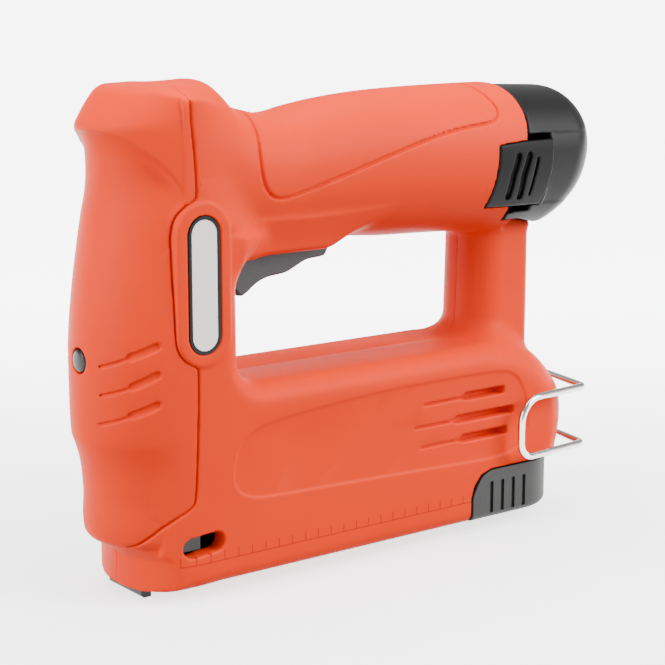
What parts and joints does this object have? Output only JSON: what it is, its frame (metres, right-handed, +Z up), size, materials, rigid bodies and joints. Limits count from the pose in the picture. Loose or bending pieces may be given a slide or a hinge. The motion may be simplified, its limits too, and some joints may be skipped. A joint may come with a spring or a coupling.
{
  "type": "cordless stapler",
  "caption": "Cordless stapler with a moulded nose column, finger opening, trigger, slide-in battery, base magazine and wire belt hook.",
  "frame": {"origin": "on the bottom face of the nosepiece, on the parting plane just in front of the staple exit", "axes": "+X from the nose to the battery, +Y to the side with the screw heads, +Z up along the staple path"},
  "size_m": [0.191, 0.0563, 0.1536],
  "materials": {
    "orange_shell": "satin moulded",
    "dark_steel": "blackened",
    "black_trim": "gloss",
    "silver_plate": "satin",
    "nickel_wire": "bright nickel",
    "sheet_steel": "drawn",
    "staple_wire": "galvanised",
    "grey_grip": "fine grain",
    "grey_trigger": "fine grain",
    "black_plastic": "moulded",
    "battery_black": "satin moulded",
    "spring_wire": "drawn",
    "buffer_rubber": "moulded",
    "brass_bush": "turned",
    "gear_case": "cast",
    "motor_can": "rolled",
    "green_board": "lacquered",
    "cell_can": "sleeved"
  },
  "bodies": {
    "tool": {"left_housing": "orange_shell", "right_housing": "orange_shell", "front_cover": "orange_shell", "cover_screw": "dark_steel", "cover_bracket": "dark_steel", "housing_screws": "dark_steel", "label_bezel": "black_trim", "label_plate": "silver_plate", "belt_hook": "nickel_wire", "nosepiece": "dark_steel", "staple_track": "sheet_steel", "base_block": "dark_steel", "buffer": "buffer_rubber", "guide_rods": "sheet_steel", "spring_seat": "dark_steel", "main_spring": "spring_wire", "bearing_plate": "sheet_steel", "shaft_bush": "brass_bush", "gearbox": "gear_case", "motor": "motor_can", "circuit_board": "green_board", "trigger_pin": "sheet_steel", "trigger_spring": "spring_wire", "trigger_switch": "black_plastic", "terminal_block": "black_plastic"},
    "finger_trigger": {"trigger": "grey_trigger"},
    "battery_pack": {"battery_cap": "battery_black", "battery_stem": "battery_black", "battery_cells": "cell_can", "battery_contacts": "brass_bush", "latch_spring_left": "spring_wire", "latch_spring_right": "spring_wire"},
    "left_latch": {"latch_button_left": "battery_black"},
    "right_latch": {"latch_button_right": "battery_black"},
    "magazine": {"magazine_grip": "grey_grip", "magazine_rail": "sheet_steel", "pusher_rod": "sheet_steel", "staple_strip": "staple_wire", "pusher_spring": "spring_wire"},
    "staple_pusher": {"pusher": "black_plastic"},
    "striker_set": {"striker": "dark_steel", "driver_blade": "sheet_steel"},
    "lift_set": {"lift_gear": "sheet_steel", "output_shaft": "sheet_steel"}
  },
  "joints": [
    {"name": "trigger_pull", "type": "hinge", "parent": "tool", "child": "finger_trigger", "pos_m": [0.072, 0, 0.106], "axis": [0, 1, 0], "range_deg": [0, 7], "stiffness_Nm_per_rad": 0.6, "springref_deg": -14.32, "deforming": ["trigger_spring"]},
    {"name": "battery_slide", "type": "slide", "parent": "tool", "child": "battery_pack", "axis": [1, 0, 0], "range_m": [0, 0.09]},
    {"name": "left_latch_press", "type": "slide", "parent": "battery_pack", "child": "left_latch", "axis": [0, 1, 0], "range_m": [0, 0.002], "stiffness_N_per_m": 600, "springref_m": -0.003, "deforming": ["latch_spring_left"]},
    {"name": "right_latch_press", "type": "slide", "parent": "battery_pack", "child": "right_latch", "axis": [0, -1, 0], "range_m": [0, 0.002], "stiffness_N_per_m": 600, "springref_m": -0.003, "deforming": ["latch_spring_right"]},
    {"name": "magazine_slide", "type": "slide", "parent": "tool", "child": "magazine", "axis": [1, 0, 0], "range_m": [0, 0.105]},
    {"name": "pusher_slide", "type": "slide", "parent": "magazine", "child": "staple_pusher", "axis": [1, 0, 0], "range_m": [0, 0.06], "stiffness_N_per_m": 20, "springref_m": -0.06, "deforming": ["pusher_spring"]},
    {"name": "striker_lift", "type": "slide", "parent": "tool", "child": "striker_set", "axis": [0, 0, 1], "range_m": [0, 0.016], "stiffness_N_per_m": 400, "springref_m": -0.03, "deforming": ["main_spring"]},
    {"name": "gear_turn", "type": "hinge", "parent": "tool", "child": "lift_set", "pos_m": [0.015, 0, 0.036], "axis": [1, 0, 0], "range_deg": [0, 96]}
  ],
  "couplings": [
    {"joint": "gear_turn", "follows": "striker_lift", "rad_per_m": 104.17}
  ]
}
